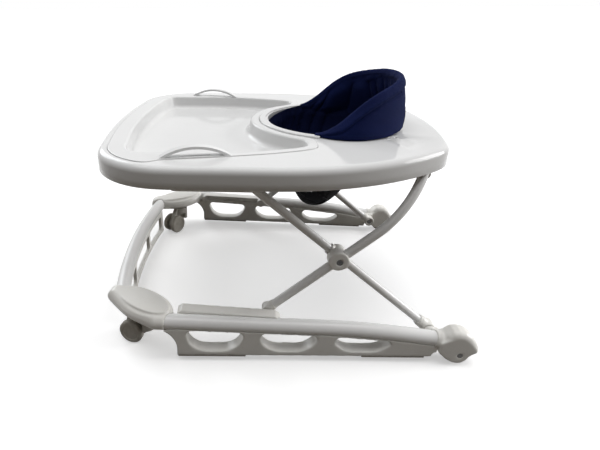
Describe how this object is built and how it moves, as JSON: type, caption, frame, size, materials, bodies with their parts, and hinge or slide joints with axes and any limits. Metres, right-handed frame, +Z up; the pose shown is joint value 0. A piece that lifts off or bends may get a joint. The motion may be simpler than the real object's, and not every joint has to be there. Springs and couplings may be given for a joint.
{
  "type": "baby walker",
  "caption": "Folding baby walker: bowed tray deck with a round fabric seat and backrest on crossed scissor arms over a U-shaped skirted base with swivel front wheels.",
  "frame": {"origin": "on the floor under the middle of the walker's bounding box", "axes": "+X to the rear, +Y to the child's right, +Z up; the child faces -X"},
  "size_m": [0.7245, 0.64, 0.4982],
  "materials": {
    "deck_plastic": "glossy white moulding",
    "frame_plastic": "semi-gloss off-white moulding",
    "tube": "light silver enamel",
    "fabric": "woven navy cloth",
    "sling_fabric": "woven black cloth",
    "steel": "zinc-plated steel",
    "rubber": "matt grey-brown rubber",
    "caster_plastic": "matt grey-brown plastic"
  },
  "bodies": {
    "base": {"rail_tube_left": "tube", "rail_tube_right": "tube", "front_tube": "tube", "side_skirt_left": "frame_plastic", "side_skirt_right": "frame_plastic", "front_skirt": "frame_plastic", "corner_pod_left": "frame_plastic", "corner_pod_right": "frame_plastic", "brake_strips_left": "rubber", "brake_strips_right": "rubber", "slide_track_left": "frame_plastic", "slide_track_right": "frame_plastic", "rear_housing_left": "frame_plastic", "rear_housing_right": "frame_plastic", "rear_axle_left": "steel", "rear_axle_right": "steel", "foot_pin_left": "steel", "foot_pin_right": "steel"},
    "straight_arms": {"straight_arm_left": "tube", "straight_arm_right": "tube", "hub_inner_left": "frame_plastic", "hub_inner_right": "frame_plastic", "arm_boot_left": "frame_plastic", "arm_boot_right": "frame_plastic", "arm_cross_rod": "steel"},
    "curved_arms": {"curved_arm_left": "tube", "curved_arm_right": "tube", "deck_knuckle_left": "frame_plastic", "deck_knuckle_right": "frame_plastic", "rear_cross_tube": "tube", "slide_shoe_left": "frame_plastic", "slide_shoe_right": "frame_plastic", "hub_outer_left": "frame_plastic", "hub_outer_right": "frame_plastic", "hub_pin_left": "steel", "hub_pin_right": "steel"},
    "deck": {"deck_shell": "deck_plastic", "seat_ring": "deck_plastic", "seat_fabric": "fabric", "seat_sling": "sling_fabric", "backrest": "fabric", "deck_track_left": "frame_plastic", "deck_track_right": "frame_plastic", "deck_bracket_left": "frame_plastic", "deck_bracket_right": "frame_plastic", "deck_pin_left": "steel", "deck_pin_right": "steel"},
    "tray": {"snack_tray": "deck_plastic", "tray_grip_left": "deck_plastic", "tray_grip_right": "deck_plastic"},
    "swivel_left": {"caster_fork_left": "caster_plastic"},
    "swivel_right": {"caster_fork_right": "caster_plastic"},
    "front_wheel_left": {"caster_wheels_left": "rubber"},
    "front_wheel_right": {"caster_wheels_right": "rubber"},
    "rear_roller_left": {"rear_wheel_left": "rubber"},
    "rear_roller_right": {"rear_wheel_right": "rubber"}
  },
  "joints": [
    {"name": "fold", "type": "hinge", "parent": "base", "child": "straight_arms", "pos_m": [0.283, 0, 0.0455], "axis": [0, -1, 0], "range_deg": [0, 28.3]},
    {"name": "arm_crossing", "type": "hinge", "parent": "straight_arms", "child": "curved_arms", "pos_m": [0.092, 0, 0.2015], "axis": [0, 1, 0], "range_deg": [0, 70.78]},
    {"name": "deck_hinge", "type": "hinge", "parent": "curved_arms", "child": "deck", "pos_m": [0.2306, 0, 0.366], "axis": [0, -1, 0], "range_deg": [0, 37.37]},
    {"name": "tray_lift", "type": "slide", "parent": "deck", "child": "tray", "axis": [0, 0, 1], "range_m": [0, 0.04]},
    {"name": "swivel_spin_left", "type": "hinge", "parent": "base", "child": "swivel_left", "pos_m": [-0.272, -0.256, 0.06], "axis": [0, 0, 1], "continuous": true},
    {"name": "swivel_spin_right", "type": "hinge", "parent": "base", "child": "swivel_right", "pos_m": [-0.272, 0.256, 0.06], "axis": [0, 0, 1], "continuous": true},
    {"name": "front_wheel_spin_left", "type": "hinge", "parent": "swivel_left", "child": "front_wheel_left", "pos_m": [-0.29891, -0.24828, 0.0253], "axis": [-0.2756, -0.9613, 0], "continuous": true},
    {"name": "front_wheel_spin_right", "type": "hinge", "parent": "swivel_right", "child": "front_wheel_right", "pos_m": [-0.28885, 0.23364, 0.0253], "axis": [0.7986, -0.6018, 0], "continuous": true},
    {"name": "rear_wheel_spin_left", "type": "hinge", "parent": "base", "child": "rear_roller_left", "pos_m": [0.328, -0.2789, 0.0253], "axis": [0, 1, 0], "continuous": true},
    {"name": "rear_wheel_spin_right", "type": "hinge", "parent": "base", "child": "rear_roller_right", "pos_m": [0.328, 0.2789, 0.0253], "axis": [0, 1, 0], "continuous": true}
  ],
  "couplings": [
    {"joint": "arm_crossing", "follows": "fold", "ratio": 2.5007},
    {"joint": "deck_hinge", "follows": "fold", "ratio": 1.3203}
  ]
}
